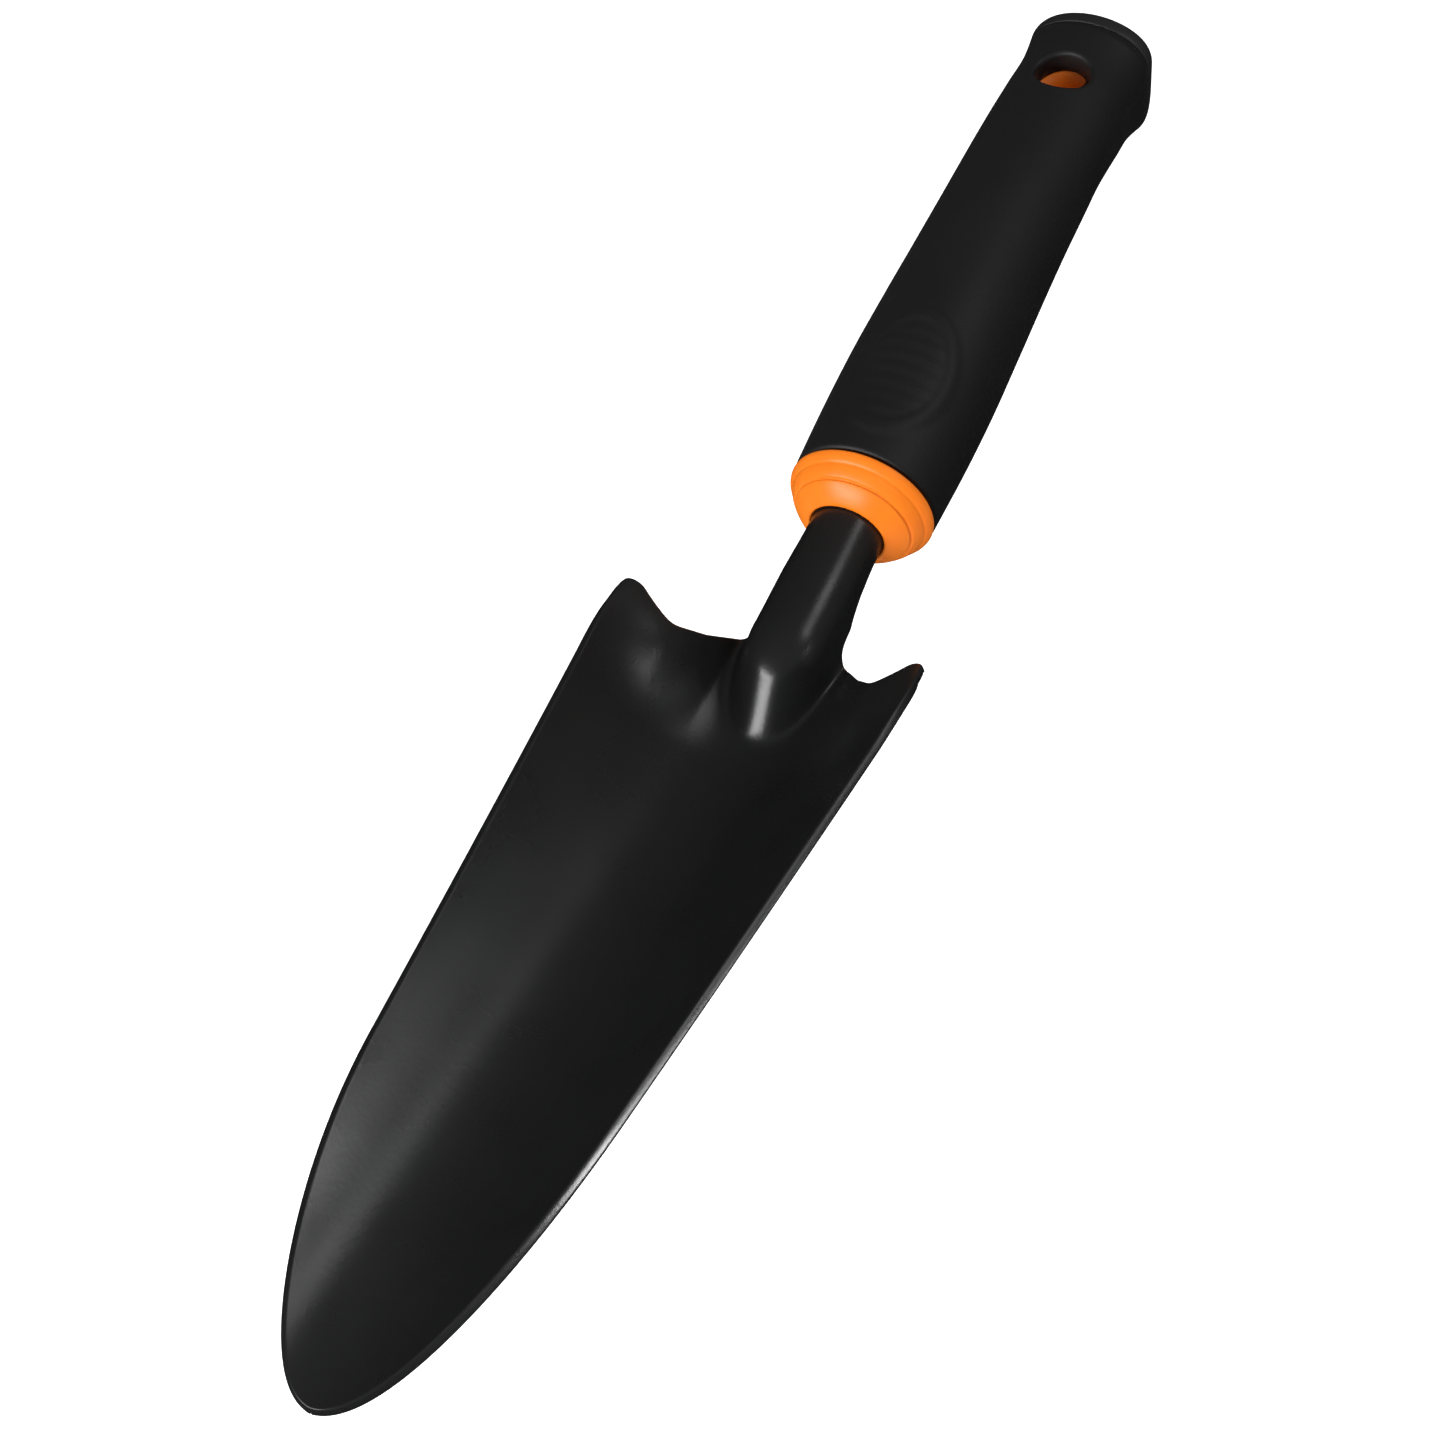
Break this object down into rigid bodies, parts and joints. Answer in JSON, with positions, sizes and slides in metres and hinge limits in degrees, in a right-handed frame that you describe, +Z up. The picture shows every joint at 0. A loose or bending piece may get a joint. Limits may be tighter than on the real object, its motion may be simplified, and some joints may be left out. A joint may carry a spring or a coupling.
{
  "type": "detecting shovel",
  "caption": "Hand trowel for digging up finds: pressed steel trough blade with a rolled neck, stepped collar, soft grip and a hanging hole.",
  "frame": {"origin": "centre line of the handle on the flat of the rear cap", "axes": "+Y from the blade's tip towards the handle's rear along the handle, +Z up on the blade's hollow side, +X to the right, across the mirror plane"},
  "size_m": [0.0624, 0.3492, 0.0576],
  "materials": {
    "black_coat": "semi-gloss black epoxy coat",
    "orange_plastic": "satin moulded plastic",
    "soft_rubber": "matte soft overmould",
    "black_plastic": "satin moulded plastic",
    "bare_steel": "bright ground pin"
  },
  "bodies": {
    "root": {"blade": "black_coat", "handle_core": "orange_plastic", "grip_sleeve": "soft_rubber", "end_cap": "black_plastic", "tang_pin": "bare_steel"}
  },
  "joints": []
}
